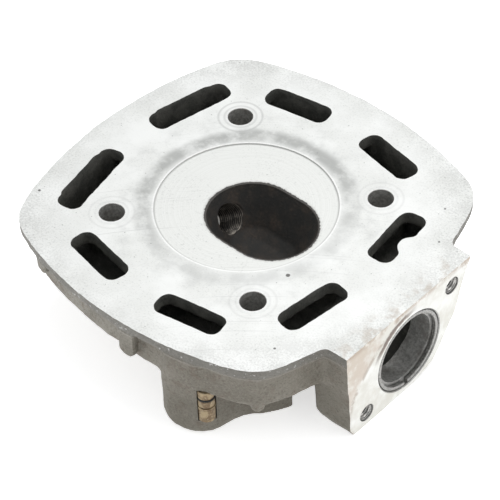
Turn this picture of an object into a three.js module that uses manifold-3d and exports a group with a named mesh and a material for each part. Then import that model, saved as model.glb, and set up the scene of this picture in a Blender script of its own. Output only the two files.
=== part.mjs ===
// Bare water-cooled cylinder head of a small two-stroke engine, lying on its outer side with the
// machined gasket deck facing up. Millimetres. Everything is drawn in the head's own datum, which
// is the centre of the stud square on the gasket deck, and the finished group is lifted so that
// the head stands on Z = 0 with its bounding box centred on the origin.
import * as THREE from 'three';
import { mergeVertices } from 'three/addons/utils/BufferGeometryUtils.js';
import Module from 'manifold-3d';

const wasm = await Module();
wasm.setup();

// Driving dimensions of the casting
const HEAD_HEIGHT = 32.4; // gasket deck to the lowest machined seat
const DECK_HALF = 56.4; // datum to the middle of each bowed deck side
const SIDE_RADIUS = 116; // bow of the deck sides
const CORNER_RADIUS = 17; // deck corners
const LIP_DEPTH = 3.2; // thickness of the rough flange lip
const WALL_DEPTH = 14.6; // jacket wall below the deck
const WALL_INSET_NEAR = 0.6; // jacket wall behind the lip, beside the outlet pad
const WALL_INSET_FAR = 3.3; // the same, on the side away from the pad
const INSET_SLOPE = 0.08; // how fast it grows from one to the other, along X
const INSET_START_X = 36;
const INSET_SLOPE_Y = 0.1; // it also grows along Y, past the upper mounting hole
const INSET_START_Y = 5;
const INSET_LIMIT = 4.6;
const ROOF_DEPTH = 16.5; // top of the water jacket, outside
const ROOF_INSET = 9; // how far it stands in from the wall
const JACKET_TOP = 4.6; // deck plate over the water jacket
const JACKET_FLOOR = 12.2; // how far the water jacket reaches
const JACKET_INSET = 10.4; // its outer wall, in from the edge of the deck
const JACKET_INNER_RADIUS = 31.5; // its inner wall, round the chamber

// Stud pattern and combustion chamber
const STUD_HALF = 27; // half of the stud square
const STUD_HOLE_RADIUS = 3.68;
const STUD_COLUMN_RADIUS = 8.2;
const STUD_SEAT_DEPTH = 22; // nut seats
const NUT_ROOM_RADIUS = 8;
const RECESS_RADIUS = 26.35; // turned step round the chamber
const RECESS_DEPTH = 0.35;
const BOWL_CENTRE = [7.45, -1.6];
const BOWL_HALF_PITCH = 3.85; // from the bowl's centre to the centre of each round end
const BOWL_PROFILE = [
  [0, -13.6],
  [3.6, -13.3],
  [6.6, -11.6],
  [9.2, -7.6],
  [11.6, -3.2],
  [13.1, 0],
];
const SEAT_CENTRE = [7, 0]; // machined round seat on the outer side, over the chamber
const SEAT_RADIUS = 19;
const CROWN = { x: 5, radius: 27, depth: 26, edge: 3 }; // thick top over the chamber
const CROWN_STEP = { x: 2, radius: 33, depth: 18.5 }; // and the wider step round it

// Coolant slots: place of the centre, length, width and turn from the side that they follow
const SLOT_CORNER = 2.8;
const SLOT_SIDE = { x: 17.3, y: 41.8, length: 20.8, width: 7.5, tilt: THREE.MathUtils.degToRad(10) };
const SLOT_LONG = { x: -41.5, y: 20.8, length: 26.9, width: 7.3, tilt: THREE.MathUtils.degToRad(12) };
const SLOT_OUTLET = { x: 40.6, y: 17.8, length: 21.4, width: 7.7, tilt: THREE.MathUtils.degToRad(7) };
const BOLT_BULGE = { x: 46.5, radius: 4.2 }; // metal round the upper mounting hole, in its slot

// Inclined spark plug hole, from the end wall of the bowl
const PLUG_TILT = THREE.MathUtils.degToRad(52);
const PLUG_MOUTH = [-5.2, -1.6, -7.3];
const PLUG_HOLE_RADIUS = 4.65;
const PLUG_REACH = 12.7; // threaded length
const PLUG_WELL_RADIUS = 8.6;
const PLUG_BOSS_RADIUS = 12;
const PLUG_BOSS_LENGTH = 24;

// Outlet pad
const PAD_FACE_X = 60.8;
const PAD_BACK_X = 46.6;
const PAD_OUTLINE = [
  [-26.8, 0],
  [25.3, 0],
  [21.4, -8.6],
  [19.2, -17.2],
  [9.6, -29.4],
  [-6.5, -HEAD_HEIGHT],
  [-24.2, -HEAD_HEIGHT],
  [-25.6, -29.5],
];
const PAD_BRIDGE_X = 40; // where the pad has run into the deck plate
const OUTLET = [-0.6, -17.4]; // centre of the outlet bore, as Y and Z
const OUTLET_RADIUS = 10.85;
const COUNTERBORE_RADIUS = 13.1;
const COUNTERBORE_DEPTH = 1.6;
const NECK_RADIUS = 14.5;
const NECK_START_X = 29;
const OUTLET_END_X = 38;
const PAD_HOLES = { upper: [17.5, -5.7], lower: [-18.6, -27.8] };
const PAD_HOLE_RADIUS = 2.75;
const PAD_HOLE_DEPTH = 11;

// Side boss, its foot, and the ribs down the wall as [x, y, radius, low end]
const SIDE_BOSS = [22.3, -44.2];
const SIDE_BOSS_RADIUS = 10.6;
const SIDE_BOSS_END = -32.2;
const SIDE_BOSS_ROUND = 3.2;
const FOOT_OUTLINE = [
  [16, -46],
  [31.5, -42.5],
  [34.6, -37.2],
  [37, -34.8],
  [39.6, -31.4],
  [41.4, -27.6],
  [32, -19.5],
  [12, -12],
];
const WALL_RIBS = [
  [6.2, -55.3, 2.9, -12.4],
  [43.6, -43.9, 2.0, -17.5],
  [-30.4, -51.3, 2.2, -7.2],
];

// Separate pieces
const GAP = 0.3; // clearance kept between pieces that touch
const INSERT_BORE_RADIUS = 2.05;
const INSERT_LENGTH = 9;
const INSERT_SETBACK = 0.4;
const INSERT_CHAMFER = 0.2;
const RING_SECTION = 1.1;
const RING_GAP_ANGLE = 0.06;
const RING_GAP_AT = -1.65; // where the ring is split, round the outlet axis
const BRASS_AXIS = [29.8, -49.8];
const BRASS_TOP = -13.9;
const BRASS_BOTTOM = -25.5;
const BRASS_RADIUS = 2.5;
const BRASS_NECK_RADIUS = 1.85;
const GROOVES = [4.7, 8]; // lower ends of its grooves, above its lower end
const GROOVE_WIDTH = 0.9;
const CLIP_HEIGHT = 0.6; // ring in the lower groove
const SEAL_HEIGHT = 0.7; // ring in the upper groove
const GROOVE_RING_RADIUS = BRASS_RADIUS + 0.15;

const INTO = 1; // how far a shape runs into its neighbour, or a cutter past the metal
const BELOW = -40; // lower than anything cast
const ARC_STEPS = 24;
const UP = new THREE.Vector3(0, 0, 1);
const ALONG_X = new THREE.Vector3(1, 0, 0);

// ---- solids ------------------------------------------------------------------------------------

function solidOf(geometry) {
  const bare = geometry.clone();
  bare.deleteAttribute('normal');
  bare.deleteAttribute('uv');
  const merged = mergeVertices(bare, 1e-4);
  const vertProperties = new Float32Array(merged.attributes.position.array);
  const triVerts = new Uint32Array(merged.index.array);
  const solid = new wasm.Manifold(new wasm.Mesh({ numProp: 3, vertProperties, triVerts }));
  if (solid.volume() > 0) return solid;
  for (let i = 0; i < triVerts.length; i += 3) {
    [triVerts[i], triVerts[i + 1]] = [triVerts[i + 1], triVerts[i]];
  }
  return new wasm.Manifold(new wasm.Mesh({ numProp: 3, vertProperties, triVerts }));
}

function geometryOf(solid) {
  const mesh = solid.getMesh();
  const geometry = new THREE.BufferGeometry();
  geometry.setAttribute('position', new THREE.BufferAttribute(mesh.vertProperties, 3));
  geometry.setIndex(new THREE.BufferAttribute(mesh.triVerts, 1));
  geometry.computeVertexNormals();
  return geometry;
}

const join = (solids) => solids.reduce((sum, next) => sum.add(next));

function shapeOf(points) {
  return new THREE.Shape(points.map(([x, y]) => new THREE.Vector2(x, y)));
}

// An outline in X and Y, pulled from one height to another.
function prism(points, low, high) {
  const options = { depth: high - low, bevelEnabled: false, curveSegments: ARC_STEPS };
  const geometry = new THREE.ExtrudeGeometry(shapeOf(points), options);
  return solidOf(geometry.translate(0, 0, low));
}

// An outline in Y and Z, pulled along X.
function prismAlongX(points, from, to) {
  const options = { depth: to - from, bevelEnabled: false, curveSegments: ARC_STEPS };
  const geometry = new THREE.ExtrudeGeometry(shapeOf(points), options);
  const basis = new THREE.Matrix4().makeBasis(
    new THREE.Vector3(0, 1, 0),
    new THREE.Vector3(0, 0, 1),
    new THREE.Vector3(1, 0, 0),
  );
  return solidOf(geometry.applyMatrix4(basis).translate(from, 0, 0));
}

// A profile of [radius, distance] pairs turned round an axis that starts at a point.
function turned(profile, start, direction, steps = ARC_STEPS) {
  const points = profile.map(([radius, along]) => new THREE.Vector2(radius, along));
  const geometry = new THREE.LatheGeometry(points, steps);
  const toAxis = new THREE.Quaternion().setFromUnitVectors(
    new THREE.Vector3(0, 1, 0),
    direction.clone().normalize(),
  );
  return solidOf(geometry.applyQuaternion(toAxis).translate(...start));
}

const rod = (radius, start, direction, length, steps) =>
  turned([[0, 0], [radius, 0], [radius, length], [0, length]], start, direction, steps);

const upright = (radius, [x, y], low, high, steps) =>
  rod(radius, [x, y, low], UP, high - low, steps);

// An upright boss with its lower edge rounded off.
function roundedBoss(radius, [x, y], low, high, edge, steps) {
  const profile = [[0, 0]];
  for (let i = 0; i <= 4; i += 1) {
    const angle = (i / 4) * (Math.PI / 2);
    profile.push([radius - edge + edge * Math.sin(angle), edge - edge * Math.cos(angle)]);
  }
  profile.push([radius, high - low], [0, high - low]);
  return turned(profile, [x, y, low], UP, steps);
}

// ---- outlines ----------------------------------------------------------------------------------

// Quarter of a square with bowed sides, as arcs: half a side, a corner and half a side.
function bowedSquare(half, sideRadius, cornerRadius) {
  const offset = sideRadius - half;
  const reach = sideRadius - cornerRadius;
  const corner = (-offset + Math.sqrt(2 * reach * reach - offset * offset)) / 2;
  const turn = Math.atan2(corner, corner + offset);
  const quarter = [];
  for (let i = -4; i < 4; i += 1) {
    const angle = (i / 4) * turn;
    quarter.push([sideRadius * Math.cos(angle) - offset, sideRadius * Math.sin(angle)]);
  }
  for (let i = 0; i < 6; i += 1) {
    const angle = turn + (i / 6) * (Math.PI / 2 - 2 * turn);
    const x = corner + cornerRadius * Math.cos(angle);
    quarter.push([x, corner + cornerRadius * Math.sin(angle)]);
  }
  const outline = [];
  for (let side = 0; side < 4; side += 1) {
    const angle = (side * Math.PI) / 2;
    const [c, s] = [Math.cos(angle), Math.sin(angle)];
    for (const [x, y] of quarter) outline.push([c * x - s * y, s * x + c * y]);
  }
  return outline;
}

// The deck outline moved in by a distance that may vary with the place.
function movedIn(outline, distanceAt) {
  return outline.map(([x, y], i) => {
    const before = outline[(i + outline.length - 1) % outline.length];
    const after = outline[(i + 1) % outline.length];
    const along = new THREE.Vector2(after[0] - before[0], after[1] - before[1]).normalize();
    const distance = distanceAt(x, y);
    return [x - along.y * distance, y + along.x * distance];
  });
}

function roundedSlot([x, y], length, width, tilt, corner) {
  const shape = new THREE.Shape();
  const [a, b] = [length / 2 - corner, width / 2 - corner];
  shape.absarc(a, b, corner, 0, Math.PI / 2);
  shape.absarc(-a, b, corner, Math.PI / 2, Math.PI);
  shape.absarc(-a, -b, corner, Math.PI, 1.5 * Math.PI);
  shape.absarc(a, -b, corner, 1.5 * Math.PI, 2 * Math.PI);
  const [c, s] = [Math.cos(tilt), Math.sin(tilt)];
  const points = shape.getPoints(4).slice(0, -1);
  return points.map((p) => [x + c * p.x - s * p.y, y + s * p.x + c * p.y]);
}

const DECK = bowedSquare(DECK_HALF, SIDE_RADIUS, CORNER_RADIUS);

const SIGNS = [1, -1];
const studPlaces = SIGNS.flatMap((a) => SIGNS.map((b) => [a * STUD_HALF, b * STUD_HALF]));
const plugOutwards = new THREE.Vector3(-Math.sin(PLUG_TILT), 0, -Math.cos(PLUG_TILT));

const slotPlans = [
  ...SIGNS.flatMap((a) => SIGNS.map((b) => {
    const { x, y, length, width, tilt } = SLOT_SIDE;
    return [[a * x, b * y], length, width, -a * b * tilt];
  })),
  ...[SLOT_LONG, SLOT_OUTLET].flatMap(({ x, y, length, width, tilt }) =>
    SIGNS.map((b) => [[x, b * y], width, length, -Math.sign(x) * -b * tilt])),
];

const wallInset = (x, y) => {
  const growth = Math.max(0, INSET_START_X - x) * INSET_SLOPE;
  const growthY = Math.max(0, y - INSET_START_Y) * INSET_SLOPE_Y;
  return Math.min(INSET_LIMIT, Math.min(WALL_INSET_FAR, WALL_INSET_NEAR + growth) + growthY);
};

// ---- casting: what is added --------------------------------------------------------------------

// Flange lip, jacket wall and jacket roof. The lower edge of the wall is rounded in two steps.
function jacketShell() {
  const inset = (extra) => movedIn(DECK, (x, y) => wallInset(x, y) + extra);
  return join([
    prism(DECK, -LIP_DEPTH, 0),
    prism(inset(0), 1.2 - WALL_DEPTH, -INTO),
    prism(inset(0.5), 0.4 - WALL_DEPTH, -INTO),
    prism(inset(1.3), -WALL_DEPTH, -INTO),
    prism(inset(ROOF_INSET), -ROOF_DEPTH, -INTO),
  ]);
}

// The square-edged block that carries the outlet face, and the round neck behind it.
function outletPad() {
  const block = prismAlongX(PAD_OUTLINE, PAD_BACK_X, PAD_FACE_X);
  const bridge = PAD_OUTLINE.slice(0, 4);
  bridge.push([PAD_OUTLINE[3][0], INTO - WALL_DEPTH], [PAD_OUTLINE[0][0], INTO - WALL_DEPTH]);
  const [y, z] = OUTLET;
  const neckLength = PAD_BACK_X + INTO - NECK_START_X;
  const neck = rod(NECK_RADIUS, [NECK_START_X, y, z], ALONG_X, neckLength);
  return join([block, prismAlongX(bridge, PAD_BRIDGE_X, PAD_FACE_X - INTO), neck]);
}

// Thick top of the head over the chamber, with its machined round seat.
function chamberCrown() {
  return join([
    upright(CROWN_STEP.radius, [CROWN_STEP.x, 0], -CROWN_STEP.depth, -INTO),
    roundedBoss(CROWN.radius, [CROWN.x, 0], -CROWN.depth, -INTO, CROWN.edge),
    upright(SEAT_RADIUS, SEAT_CENTRE, -HEAD_HEIGHT, -INTO),
  ]);
}

function studColumns() {
  return studPlaces.map((place) => upright(STUD_COLUMN_RADIUS, place, -STUD_SEAT_DEPTH, -INTO));
}

// Side boss with a full round end, and the foot that joins it to the crown.
function sideBoss() {
  return join([
    roundedBoss(SIDE_BOSS_RADIUS, SIDE_BOSS, SIDE_BOSS_END, -INTO, SIDE_BOSS_ROUND, 28),
    prism(FOOT_OUTLINE, -HEAD_HEIGHT, -INTO),
  ]);
}

// Half-round ribs down the near wall.
function wallRibs() {
  return WALL_RIBS.map(([x, y, radius, low]) =>
    roundedBoss(radius, [x, y], low, -INTO, radius * 0.8, 12));
}

const plugBoss = () => rod(PLUG_BOSS_RADIUS, PLUG_MOUTH, plugOutwards, PLUG_BOSS_LENGTH, 28);

// ---- casting: what is cut away -----------------------------------------------------------------

// Chamber: two turned bowls and the straight stretch between them.
function chamber() {
  const [x, y] = BOWL_CENTRE;
  const [rim] = BOWL_PROFILE[BOWL_PROFILE.length - 1];
  const bowl = [...BOWL_PROFILE, [rim, INTO], [0, INTO]];
  const ends = SIGNS.map((a) => turned(bowl, [x + a * BOWL_HALF_PITCH, y, 0], UP, 32));
  const half = [...BOWL_PROFILE.slice(1), [rim, INTO]];
  const right = half.map(([r, z]) => [y + r, z]);
  const left = half.reverse().map(([r, z]) => [y - r, z]);
  const middle = prismAlongX([...right, ...left], x - BOWL_HALF_PITCH, x + BOWL_HALF_PITCH);
  return join([...ends, middle]);
}

function coolantSlots() {
  const cutters = slotPlans.map(([place, length, width, tilt]) =>
    prism(roundedSlot(place, length, width, tilt, SLOT_CORNER), -JACKET_FLOOR, INTO));
  const { x, radius } = BOLT_BULGE;
  return join(cutters).subtract(upright(radius, [x, PAD_HOLES.upper[0]], BELOW, 2 * INTO, 16));
}

// Water jacket: a ring under the deck plate, interrupted by the stud columns.
function waterJacket() {
  const ring = prism(movedIn(DECK, () => JACKET_INSET), -JACKET_FLOOR, -JACKET_TOP);
  const kept = [upright(JACKET_INNER_RADIUS, [0, 0], BELOW, 0, 40)];
  for (const place of studPlaces) kept.push(upright(STUD_COLUMN_RADIUS - 1, place, BELOW, 0));
  return ring.subtract(join(kept));
}

function outletBore() {
  const mouth = PAD_FACE_X + INTO - OUTLET_END_X;
  const ledge = PAD_FACE_X - COUNTERBORE_DEPTH - OUTLET_END_X;
  const profile = [
    [0, 0],
    [OUTLET_RADIUS, 0],
    [OUTLET_RADIUS, ledge],
    [COUNTERBORE_RADIUS, ledge],
    [COUNTERBORE_RADIUS, mouth],
    [0, mouth],
  ];
  return turned(profile, [OUTLET_END_X, ...OUTLET], ALONG_X, 36);
}

function padHoles() {
  const start = PAD_FACE_X - PAD_HOLE_DEPTH;
  return Object.values(PAD_HOLES).map(([y, z]) =>
    rod(PAD_HOLE_RADIUS, [start, y, z], ALONG_X, PAD_HOLE_DEPTH + INTO, 20));
}

function plugPassage() {
  const inwards = -PLUG_HOLE_RADIUS;
  const outwards = PLUG_BOSS_LENGTH + PLUG_BOSS_RADIUS;
  const profile = [
    [0, inwards],
    [PLUG_HOLE_RADIUS, inwards],
    [PLUG_HOLE_RADIUS, PLUG_REACH],
    [PLUG_WELL_RADIUS, PLUG_REACH],
    [PLUG_WELL_RADIUS, outwards],
    [0, outwards],
  ];
  return turned(profile, PLUG_MOUTH, plugOutwards, 28);
}

function studHoles() {
  return studPlaces.map((place) => upright(STUD_HOLE_RADIUS, place, BELOW, INTO, 24));
}

function castingSolid() {
  const added = join([
    jacketShell(),
    outletPad(),
    chamberCrown(),
    sideBoss(),
    plugBoss(),
    ...studColumns(),
    ...wallRibs(),
  ]);
  const nutRoom = studPlaces.map((place) =>
    upright(NUT_ROOM_RADIUS, place, BELOW, -STUD_SEAT_DEPTH));
  const cut = join([
    chamber(),
    upright(RECESS_RADIUS, [0, 0], -RECESS_DEPTH, INTO, 48),
    coolantSlots(),
    waterJacket(),
    outletBore(),
    plugPassage(),
    upright(BRASS_RADIUS + GAP, BRASS_AXIS, BRASS_BOTTOM - GAP, BRASS_TOP + GAP, 20),
    ...padHoles(),
    ...studHoles(),
    ...nutRoom,
  ]);
  return added.subtract(cut).trimByPlane([0, 0, 1], -HEAD_HEIGHT).trimByPlane([0, 0, -1], 0);
}

// ---- separate pieces ---------------------------------------------------------------------------

// Wire thread insert, as a sleeve with a chamfered mouth.
function threadInsert([y, z]) {
  const outside = PAD_HOLE_RADIUS - GAP;
  const inside = INSERT_BORE_RADIUS;
  const profile = [
    [inside, 0],
    [outside, 0],
    [outside, INSERT_LENGTH],
    [inside + INSERT_CHAMFER, INSERT_LENGTH],
    [inside, INSERT_LENGTH - INSERT_CHAMFER],
    [inside, 0],
  ];
  return turned(profile, [PAD_FACE_X - INSERT_SETBACK - INSERT_LENGTH, y, z], ALONG_X, 20);
}

// Split spring ring lying in the corner of the counterbore.
function sealRing() {
  const outside = COUNTERBORE_RADIUS - GAP;
  const shape = new THREE.Shape();
  const [from, to] = [RING_GAP_AT + RING_GAP_ANGLE, RING_GAP_AT - RING_GAP_ANGLE + 2 * Math.PI];
  shape.absarc(0, 0, outside, from, to, false);
  shape.absarc(0, 0, outside - RING_SECTION, to, from, true);
  const points = shape.getPoints(40).map((p) => [p.x + OUTLET[0], p.y + OUTLET[1]]);
  const back = PAD_FACE_X - COUNTERBORE_DEPTH + GAP;
  return prismAlongX(points, back, back + RING_SECTION);
}

// Turned brass insert with two grooves, standing on end in its pocket.
function brassInsert() {
  const length = BRASS_TOP - BRASS_BOTTOM;
  const [full, neck] = [BRASS_RADIUS, BRASS_NECK_RADIUS];
  const profile = [[0, 0], [full, 0]];
  for (const low of GROOVES) {
    profile.push([full, low], [neck, low], [neck, low + GROOVE_WIDTH], [full, low + GROOVE_WIDTH]);
  }
  profile.push([full, length], [0, length]);
  return turned(profile, [...BRASS_AXIS, BRASS_BOTTOM], UP);
}

// A ring seated in one of the brass insert's grooves.
function grooveRing(low, height) {
  const inside = BRASS_NECK_RADIUS + GAP / 2;
  const outside = GROOVE_RING_RADIUS;
  const profile = [[inside, 0], [outside, 0], [outside, height], [inside, height], [inside, 0]];
  return turned(profile, [...BRASS_AXIS, BRASS_BOTTOM + low + (GROOVE_WIDTH - height) / 2], UP);
}

// ---- assembly ----------------------------------------------------------------------------------

const MATERIALS = {
  aluminium: { color: 0xb4b1aa, roughness: 0.6, metalness: 0.7 },
  steel: { color: 0x8d8f92, roughness: 0.35, metalness: 1 },
  brass: { color: 0xa98452, roughness: 0.4, metalness: 1 },
  rubber: { color: 0x1c1b1a, roughness: 0.8, metalness: 0 },
};

const head = new THREE.Group();

function place(name, solid, finish) {
  const mesh = new THREE.Mesh(geometryOf(solid), new THREE.MeshStandardMaterial(MATERIALS[finish]));
  mesh.name = name;
  head.add(mesh);
}

place('head_casting', castingSolid(), 'aluminium');
place('outlet_spring_ring', sealRing(), 'steel');
place('upper_thread_insert', threadInsert(PAD_HOLES.upper), 'steel');
place('lower_thread_insert', threadInsert(PAD_HOLES.lower), 'steel');
place('brass_insert', brassInsert(), 'brass');
place('insert_clip', grooveRing(GROOVES[0], CLIP_HEIGHT), 'brass');
place('insert_o_ring', grooveRing(GROOVES[1], SEAL_HEIGHT), 'rubber');

// Centre the footprint on the origin, with the lowest seat on Z = 0.
const extent = new THREE.Box3().setFromObject(head);
const middle = extent.getCenter(new THREE.Vector3());
head.position.set(-middle.x, -middle.y, -extent.min.z);

export default head;
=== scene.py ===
"""The looks of a bare water-cooled cylinder head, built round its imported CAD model.

The casting is grown as one rounded volume, as a foundry pattern would be, and then machined:
deck, outlet face, bores, threads and seats are cut with sharp tools, each of which leaves its
own finish behind. Lengths in the shape functions are millimetres in the head's own datum, which
is the centre of the stud square on the gasket deck, with +X to the outlet pad and +Z up.
"""
import math

import bmesh
import bpy
import numpy as np
import openvdb
from mathutils import Matrix, Vector


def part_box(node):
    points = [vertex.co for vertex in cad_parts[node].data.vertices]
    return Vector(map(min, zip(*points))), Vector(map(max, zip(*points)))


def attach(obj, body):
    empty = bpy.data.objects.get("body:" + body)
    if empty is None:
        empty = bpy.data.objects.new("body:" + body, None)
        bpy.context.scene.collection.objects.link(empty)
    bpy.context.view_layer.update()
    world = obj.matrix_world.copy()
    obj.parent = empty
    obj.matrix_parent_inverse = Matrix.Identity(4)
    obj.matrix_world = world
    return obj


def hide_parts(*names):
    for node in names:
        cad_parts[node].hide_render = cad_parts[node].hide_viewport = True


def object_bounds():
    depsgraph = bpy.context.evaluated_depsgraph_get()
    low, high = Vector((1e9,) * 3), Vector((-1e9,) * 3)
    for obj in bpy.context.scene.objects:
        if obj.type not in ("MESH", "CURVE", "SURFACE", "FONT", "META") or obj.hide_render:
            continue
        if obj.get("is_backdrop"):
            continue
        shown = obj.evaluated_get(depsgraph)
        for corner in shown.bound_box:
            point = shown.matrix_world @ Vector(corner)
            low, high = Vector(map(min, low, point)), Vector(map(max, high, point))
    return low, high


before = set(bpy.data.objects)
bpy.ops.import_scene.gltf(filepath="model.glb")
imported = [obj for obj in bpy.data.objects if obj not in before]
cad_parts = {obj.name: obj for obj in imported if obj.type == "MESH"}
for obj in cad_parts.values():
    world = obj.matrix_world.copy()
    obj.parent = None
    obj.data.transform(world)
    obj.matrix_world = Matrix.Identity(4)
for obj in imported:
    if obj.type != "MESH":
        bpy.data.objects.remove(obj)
cad_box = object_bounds()

MM = 0.001

# ---- driving dimensions, in millimetres, as in the CAD model ------------------------------------

HEAD_HEIGHT = 32.4
PAD_FACE_X = 60.8
DECK_HALF = 56.4
SIDE_RADIUS = 116.0
CORNER_RADIUS = 17.0
LIP_DEPTH = 3.2
WALL_DEPTH = 14.6
WALL_INSET_NEAR = 0.6  # jacket wall behind the lip, beside the outlet pad
WALL_INSET_FAR = 3.3  # the same, on the side away from the pad
INSET_SLOPE = 0.08
INSET_START_X = 36.0
INSET_SLOPE_Y = 0.1
INSET_START_Y = 5.0
INSET_LIMIT = 4.6
ROOF_DEPTH = 16.5
ROOF_INSET = 9.0
JACKET_TOP = 4.6
JACKET_FLOOR = 12.2
JACKET_INSET = 10.4
JACKET_INNER_RADIUS = 31.5

STUD_HALF = 27.0
STUD_HOLE_RADIUS = 3.68
STUD_COLUMN_RADIUS = 8.2
STUD_SEAT_DEPTH = 22.0
RECESS_RADIUS = 26.35
RECESS_DEPTH = 0.35
BOWL_CENTRE = (7.45, -1.6)
BOWL_HALF_PITCH = 3.85
BOWL_EDGE = 0.7  # rounding of its rim
BOWL_PROFILE = [(0, -13.6), (3.6, -13.3), (6.6, -11.6), (9.2, -7.6), (11.6, -3.2), (12.9, -BOWL_EDGE)]
SEAT_CENTRE = (7.0, 0.0)
SEAT_RADIUS = 19.0
CROWN = dict(x=5.0, radius=27.0, depth=26.0)
CROWN_STEP = dict(x=2.0, radius=33.0)
CROWN_STEP_DROP = 3.0  # below the roof of the jacket
NUT_ROOM_RADIUS = 8.0

SLOT_CORNER = 2.8
SLOT_SIDE = dict(x=17.3, y=41.8, length=20.8, width=7.5, tilt=math.radians(10))
SLOT_LONG = dict(x=-41.5, y=20.8, length=26.9, width=7.3, tilt=math.radians(12))
SLOT_OUTLET = dict(x=40.6, y=17.8, length=21.4, width=7.7, tilt=math.radians(7))
SLOT_DRAFT = 0.07  # how much each side of a slot widens per millimetre upwards
SLOT_DRAFT_FROM = 8.0
SLOT_SHRINK = 0.38  # how far in each side stands below the draft
LONG_STEP = 0.6  # the middle of the long slots stands further out
LONG_STEP_ENDS = 5.4  # and is this much shorter than the slot
BOLT_BULGE_X = 46.5  # metal round the upper mounting hole, in its slot
BOLT_BULGE_RADIUS = 4.2

PLUG_TILT = math.radians(52)
PLUG_MOUTH = (-5.2, -1.6, -7.3)
PLUG_REACH = 12.7
PLUG_WELL_RADIUS = 8.6
PLUG_BOSS_RADIUS = 12.0
PLUG_BOSS_LENGTH = 24.0

PAD_BACK_X = 46.6
PAD_OUTLINE = [(-26.8, 4), (25.3, 4), (25.3, 0), (21.4, -8.6), (19.2, -17.2), (9.6, -29.4),
               (-6.5, -HEAD_HEIGHT), (-24.2, -HEAD_HEIGHT), (-25.6, -29.5), (-26.8, 0)]
OUTLET = (-0.6, -17.4)
OUTLET_RADIUS = 10.85
COUNTERBORE_RADIUS = 13.1
COUNTERBORE_DEPTH = 1.6
NECK_RADIUS = 14.5
PAD_BRIDGE_X = 40.0
PASSAGE_RADIUS = 12.0
PASSAGE_LENGTH = 15.5
OUTLET_END_X = 38.0
PAD_HOLES = {"upper_thread_insert": (17.5, -5.7), "lower_thread_insert": (-18.6, -27.8)}
PAD_HOLE_RADIUS = 2.75
PAD_HOLE_DEPTH = 11.0
INSERT_SETBACK = 0.4
INSERT_LENGTH = 9.0
RING_SECTION = 1.1
RING_EDGE = 0.22
RING_GAP_AT = -1.65  # where the ring is split, round the outlet axis
RING_GAP_ANGLE = 0.06

SIDE_BOSS = (22.3, -44.2)
SIDE_BOSS_RADIUS = 10.6
SIDE_BOSS_END = -32.2
SIDE_BOSS_ROUND = 3.2
FOOT_OUTLINE = [(16, -46), (31.5, -42.5), (34.6, -37.2), (37, -34.8), (39.6, -31.4),
                (41.4, -27.6), (32, -19.5), (12, -12)]
WALL_RIBS = [(6.2, -55.3, 2.9, -12.4), (43.6, -43.9, 2.0, -17.5), (-30.4, -51.3, 2.2, -7.2)]
BRASS_AXIS = (29.8, -49.8)
BRASS_TOP = -13.9
BRASS_BOTTOM = -25.5
BRASS_RADIUS = 2.5
BRASS_NECK_RADIUS = 1.85
GROOVES = (4.7, 8.0)
GROOVE_WIDTH = 0.9
CLIP_HEIGHT = 0.6
SEAL_HEIGHT = 0.7
GAP = 0.3

# pores that show in the milled deck: place and radius
DECK_PORES = [(27.6, -13.3, 0.65), (43.3, -36.3, 0.4), (-49.2, -34, 0.45), (43.5, 35.5, 0.35),
              (50.7, 24, 0.35)]

SIGNS = (1, -1)
STUD_PLACES = [(a * STUD_HALF, b * STUD_HALF) for a in SIGNS for b in SIGNS]
UP = Vector((0, 0, 1))
ALONG_X = Vector((1, 0, 0))
PLUG_OUTWARDS = Vector((-math.sin(PLUG_TILT), 0, -math.cos(PLUG_TILT)))

# The datum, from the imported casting: its highest X is the outlet face and its top is the deck.
casting_low, casting_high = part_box("head_casting")
DATUM = Vector((
    casting_high.x - PAD_FACE_X * MM,
    casting_high.y - DECK_HALF * MM,
    casting_high.z,
))

# ---- camera, light and floor --------------------------------------------------------------------


def aim(obj, target, roll=0.0):
    """Turns an object so that its -Z points at a place."""
    turn = (target - obj.location).to_track_quat("-Z", "Y")
    obj.rotation_mode = "QUATERNION"
    obj.rotation_quaternion = turn @ Matrix.Rotation(roll, 4, "Z").to_quaternion()


def place_from(azimuth, elevation, distance):
    a, e = math.radians(azimuth), math.radians(elevation)
    back = Vector((math.sin(a) * math.cos(e), -math.cos(a) * math.cos(e), math.sin(e)))
    return back * distance


def make_camera():
    data = bpy.data.cameras.new("camera")
    data.sensor_width = 36.0
    data.lens = 180.0
    data.clip_start = 0.01
    data.clip_end = 20.0
    camera = bpy.data.objects.new("camera", data)
    bpy.context.scene.collection.objects.link(camera)
    target = DATUM + Vector((6.5, -6.0, -9.1)) * MM
    camera.location = target + place_from(43.8, 44.3, 0.7087)
    aim(camera, target, math.radians(-2.15))
    bpy.context.scene.camera = camera


def area_light(name, azimuth, elevation, distance, size, watts, colour=(1, 1, 1)):
    data = bpy.data.lights.new(name, "AREA")
    data.shape = "DISK"
    data.size = size
    data.energy = watts
    data.color = colour
    light = bpy.data.objects.new(name, data)
    bpy.context.scene.collection.objects.link(light)
    target = DATUM + Vector((0, 0, -15)) * MM
    light.location = target + place_from(azimuth, elevation, distance)
    aim(light, target)


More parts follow.
